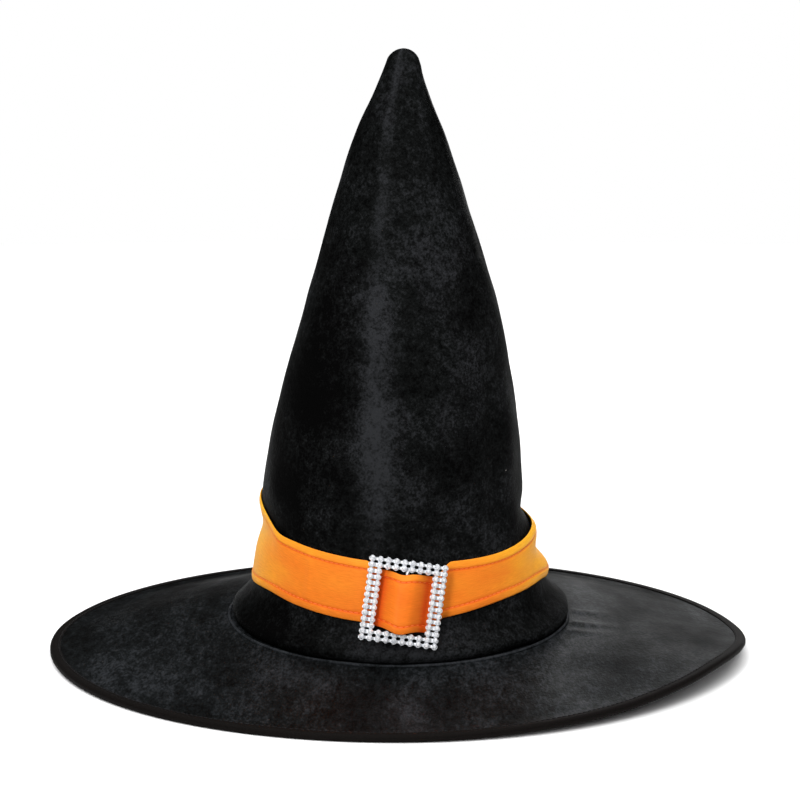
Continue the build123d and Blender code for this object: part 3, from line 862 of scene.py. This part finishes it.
# mm in from an edge of the lines that the satin's mesh is made of, close together at the hem
strip_stops = [0, 0.35, 1.2, 2.6, 3.6, 4.1, 4.5, 4.9, 5.4, 6.6, 8.5, 11, 13.5, 15.8, 18]
strip = [d / BAND_WIDTH for d in strip_stops] + [1 - d / BAND_WIDTH for d in strip_stops[-2::-1]]
BAND_STEPS = 540
bm = turned([(BAND_R, across * BAND_WIDTH) for across in strip], BAND_STEPS, BAND_GIRTH)
satin_painted_light_layer = bm.verts.layers.float.new("satin_painted_light")
for v in bm.verts:
    around, across = azimuth(v.co), v.co.z / MM / BAND_WIDTH
    v[satin_painted_light_layer] = satin_painted_light_at(around, across)
    v.co = band_place(around, across)
face_to(bm, outward)
satin_band = piece_from(bm, "satin_band", satin_look, ["hat_band", "band_loop"], SATIN)

SEWN_TO = 170  # degrees round, where the rows stop before the lap
low_hem, high_hem = bmesh.new(), bmesh.new()
for bm, across in ((low_hem, HEM / BAND_WIDTH), (high_hem, 1 - HEM / BAND_WIDTH)):
    spots = []
    for k in range(HEM_STITCHES):
        around = -180 + (k + 0.5) * 360 / HEM_STITCHES
        if abs(around) < SEWN_TO:
            place = band_place(around, across, 0.06)
            along = band_place(around + 0.5, across) - band_place(around - 0.5, across)
            out = along.cross(band_place(around, across + 0.01) - band_place(around, across - 0.01))
            spots.append((place, along, out))
    stitches(bm, spots, HEM_STITCH)
low_hem_thread = piece_from(
    low_hem, "low_hem_thread", orange_thread_look, ["band_stitch_lower", "loop_stitch"]
)
high_hem_thread = piece_from(high_hem, "high_hem_thread", orange_thread_look, ["band_stitch_upper"])

# lapped join at the back
LAP_HALF = 8.7  # half its length, in degrees round
LAP_FACE = 0.72  # its face over the band's
# painted sheen of the lap, to match the band's painted light behind
LAP_PAINTED_LIGHT = 0.42
bm = bmesh.new()
bmesh.ops.create_grid(bm, x_segments=28, y_segments=20, size=0.5)
lap_map = bm.loops.layers.uv.new("cloth")
satin_painted_light_layer = bm.verts.layers.float.new("satin_painted_light")
for face in bm.faces:
    for loop in face.loops:
        loop[lap_map].uv = (loop.vert.co.x * 0.025, loop.vert.co.y * 0.036)
for v in bm.verts:
    across = v.co.y + 0.5
    around = 180 + v.co.x * 2 * LAP_HALF
    around -= 360 if around > 180 else 0
    v[satin_painted_light_layer] = LAP_PAINTED_LIGHT
    at_edge = max(abs(v.co.x), abs(v.co.y)) * 2
    v.co = band_place(around, across, LAP_FACE - 0.1 * ease(0.9, 1.0, at_edge))
face_to(bm, outward)
band_lap = piece_from(bm, "band_lap", satin_look, ["band_join"], LAP)

bm = bmesh.new()
spots = []
for side in (-1, 1):
    for k in range(LAP_STITCHES):
        around, across = 180 - side * LAP_HALF * 0.76, 0.075 + 0.85 * (k + 0.5) / LAP_STITCHES
        around -= 360 if around > 180 else 0
        along = band_place(around, across + 0.01) - band_place(around, across - 0.01)
        place = band_place(around, across, LAP_FACE + 0.12)
        spots.append((place, along, outward(band_place(around, across))))
stitches(bm, spots, LAP_STITCH)
lap_thread = piece_from(bm, "lap_thread", orange_thread_look, ["band_join_stitch"])


# ---- buckle: claw cups and cut stones on the cast plate
def row_places(inset):
    """Places of one rectangular row of stones on the plate, inset rows from the outside."""
    w, h = COLUMNS - 2 * inset, ROWS - 2 * inset
    return [
        ((i - (w - 1) / 2) * PITCH_X, (j - (h - 1) / 2) * PITCH_Y)
        for i in range(w)
        for j in range(h)
        if i in (0, w - 1) or j in (0, h - 1)
    ]


def claw_cup(bm, place):
    """A round cup with four claws pressed over its stone."""
    middle = place @ Matrix.Translation((0, 0, CUP_H / 2 * MM))
    made = bmesh.ops.create_cone(
        bm, segments=12, radius1=CUP_R * MM, radius2=CUP_R * MM, depth=CUP_H * MM, matrix=middle
    )
    faces = {face for v in made["verts"] for face in v.link_faces}
    bmesh.ops.solidify(bm, geom=list(faces), thickness=CUP_WALL * MM)
    for quarter in range(4):
        turn = place @ Matrix.Rotation(math.radians(45 + 90 * quarter), 4, "Z")
        made = bmesh.ops.create_cube(bm, size=1.0, matrix=Matrix.Diagonal((*CLAW, 1)))
        for v in made["verts"]:
            over_stone = v.co.z > 0
            x = v.co.x - (CLAW[0] if over_stone else 0)
            y = v.co.y * (CLAW_TAPER if over_stone else 1)
            claw = Vector((x, y, v.co.z + CUP_H + CLAW_SET)) + Vector((CUP_R - CLAW_SET, 0, 0))
            v.co = turn @ (claw * MM)


def cut_stone(bm, place, turn):
    """A cut stone: table, eight star and eight main facets, and the back down to a point."""
    at = place @ Matrix.Rotation(turn, 4, "Z")
    rings = []
    girdle_low = (STONE_R, CUP_H - GIRDLE, 0)
    girdle_high = (STONE_R, CUP_H, 0)
    table = (STONE_R * TABLE_SHARE, CUP_H + STONE_TOP, 22.5)
    for radius, height, twist in (girdle_low, girdle_high, table):
        ring_at = at @ Matrix.Translation((0, 0, height * MM)) @ Matrix.Rotation(math.radians(twist), 4, "Z")
        made = bmesh.ops.create_circle(bm, segments=8, radius=radius * MM, cap_ends=False, matrix=ring_at)
        rings.append({edge for v in made["verts"] for edge in v.link_edges})
    for low, high in zip(rings, rings[1:]):
        bmesh.ops.bridge_loops(bm, edges=list(low | high))
    bmesh.ops.edgeloop_fill(bm, edges=list(rings[-1]))
    back = bmesh.ops.edgeloop_fill(bm, edges=list(rings[0]))
    point = bmesh.ops.poke(bm, faces=back["faces"])
    for v in point["verts"]:
        v.co = at @ Vector((0, 0, STONE_BACK * MM))


for inset, row in ((0, "outer"), (1, "inner")):
    cups, stones = bmesh.new(), bmesh.new()
    for k, (x, y) in enumerate(row_places(inset)):
        place = buckle_frame @ Matrix.Translation(Vector((x, y, PLATE / 2)) * MM)
        claw_cup(cups, place)
        # no two stones are set quite level, or turned the same way
        tilt = Matrix.Rotation(math.radians(2.5 * math.sin(k * 2.4)), 4, "X")
        cut_stone(stones, place @ tilt, k * 2.1 + inset)
    bmesh.ops.triangulate(stones, faces=[face for face in stones.faces if len(face.verts) == 4])
    for bm in (cups, stones):
        bmesh.ops.recalc_face_normals(bm, faces=bm.faces)
    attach(piece_from(cups, f"{row}_claw_cups", silver_look, [f"{row}_settings"], faceted=True), "buckle")
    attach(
        piece_from(stones, f"{row}_cut_stones", stone_look, [f"{row}_stones"], faceted=True), "buckle"
    )

# the cast plate is open between the cups: a round pad under each, rails along the rows, and short links across
bm = bmesh.new()


def cast_block(x, y, w, h):
    """A bar of the lattice, w mm along the window's width and h mm up it."""
    in_mm = buckle_frame @ Matrix.Diagonal((MM, MM, MM, 1))
    size = Matrix.Diagonal((w, h, LATTICE, 1))
    bmesh.ops.create_cube(bm, size=1.0, matrix=in_mm @ Matrix.Translation((x, y, 0)) @ size)


for inset in (0, 1):
    half_w, half_h = (COLUMNS - 2 * inset - 1) / 2 * PITCH_X, (ROWS - 2 * inset - 1) / 2 * PITCH_Y
    for x, y in row_places(inset):
        pad_at = buckle_frame @ Matrix.Translation(Vector((x, y, 0)) * MM)
        bmesh.ops.create_cone(
            bm, cap_ends=True, segments=14, radius1=PAD_R * MM, radius2=PAD_R * MM, depth=PLATE * MM, matrix=pad_at
        )
        if inset and abs(x) == half_w:
            cast_block(x + math.copysign(PITCH_X / 2, x), y, PITCH_X, LINK_W)
        if inset and abs(y) == half_h:
            cast_block(x, y + math.copysign(PITCH_Y / 2, y), LINK_W, PITCH_Y)
    for side in (-1, 1):
        cast_block(side * half_w, 0, RAIL_W, 2 * half_h)
        cast_block(0, side * half_h, 2 * half_w, RAIL_W)
        if inset:
            # a lug that the bar's end goes into
            cast_block(0, side * (half_h - 1.0), *BAR_LUG)
cast_plate = piece_from(bm, "cast_plate", silver_look, ["buckle_frame"], faceted=True)
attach(cast_plate, "buckle")

# the bar is left as it comes, in the plate's metal
mesh = frame["nodes"]["buckle_bar"].data
mesh.materials.clear()
mesh.materials.append(silver_look)

# ---- what rides on what, and the band's pieces baked in place
on_hat = (
    crown_velvet, stiff_cone, cone_lining, seam_lip, brim_velvet, brim_stiffener, brim_backing,
    rim_binding, binding_thread, rim_wire, sweatband_ribbon, mouth_thread, band_lap, lap_thread,
)
for piece in on_hat:
    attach(piece, "hat")
for piece in (satin_band, low_hem_thread, high_hem_thread):
    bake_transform(piece)

# ---- floor, light and camera
FLOOR_R = 2.2
bm = bmesh.new()
bmesh.ops.create_circle(bm, cap_ends=True, segments=96, radius=FLOOR_R)
mesh = bpy.data.meshes.new("floor")
bm.to_mesh(mesh)
bm.free()
floor = bpy.data.objects.new("floor", mesh)
scene.collection.objects.link(floor)
floor_look = new_look("pale_paper")
matt_white = {"Base Color": linear("#ffffff"), "Roughness": 0.9, "Specular IOR Level": 0.1}
output(floor_look, add_node(floor_look, "ShaderNodeBsdfPrincipled", matt_white, {}))
mesh.materials.append(floor_look)

world = bpy.data.worlds.new("studio")
scene.world = world
world.use_nodes = True
world.node_tree.nodes.clear()
room = add_node(world, "ShaderNodeBackground", {"Color": linear("#ffffff"), "Strength": 0.08}, {})
paper = add_node(world, "ShaderNodeBackground", {"Color": linear("#ffffff"), "Strength": 1.0}, {})
# the hat is lit by the dim room, and the camera sees white paper behind it
seen = add_node(world, "ShaderNodeLightPath", {}, {})
by_ray = {0: seen.outputs["Is Camera Ray"], 1: room.outputs[0], 2: paper.outputs[0]}
both = add_node(world, "ShaderNodeMixShader", {}, by_ray)
add_node(world, "ShaderNodeOutputWorld", {}, {"Surface": both.outputs[0]})


def aim(thing, at):
    """Points a lamp or a camera at a place."""
    thing.rotation_euler = (Vector(at) - thing.location).to_track_quat("-Z", "Y").to_euler()


def soft_box(name, around, up, distance, size, power, at=(0, 0, 0.15)):
    """An area light round degrees round the hat and up degrees over it."""
    light = bpy.data.lights.new(name, "AREA")
    light.shape = "RECTANGLE"
    light.size, light.size_y = size
    light.energy = power
    lamp = bpy.data.objects.new(name, light)
    scene.collection.objects.link(lamp)
    turn, rise = math.radians(around), math.radians(up)
    level = math.cos(rise)
    lamp.location = Vector(at) + distance * Vector((math.sin(turn) * level, -math.cos(turn) * level, math.sin(rise)))
    lamp.visible_camera = False
    aim(lamp, at)


soft_box("key_strip", -19, 24, 1.9, (0.35, 1.3), 25)
soft_box("fill_right", 62, 34, 2.4, (1.2, 1.2), 10)
soft_box("back_right", 162, 18, 1.15, (0.5, 0.35), 2.0, (0, 0, 0.02))
# a wide bright ceiling gives the soft shadow under the rim
sky = bpy.data.lights.new("ceiling", "SUN")
sky.energy = 3.3
sky.angle = math.radians(80)
ceiling = bpy.data.objects.new("ceiling", sky)
scene.collection.objects.link(ceiling)
ceiling.location = (0, 0, 3)

CAMERA_UP = math.radians(9.5)
CAMERA_DISTANCE = 1.5135
LENS = 119.25
camera_data = bpy.data.cameras.new("camera")
camera_data.lens = LENS
camera_data.sensor_width = 36
camera_data.clip_end = 100
camera = bpy.data.objects.new("camera", camera_data)
scene.collection.objects.link(camera)
camera_target = Vector((0.00126, 0, 0.14275))
camera.location = camera_target + CAMERA_DISTANCE * Vector((0, -math.cos(CAMERA_UP), math.sin(CAMERA_UP)))
aim(camera, camera_target)
scene.camera = camera
scene.view_settings.view_transform = "Standard"
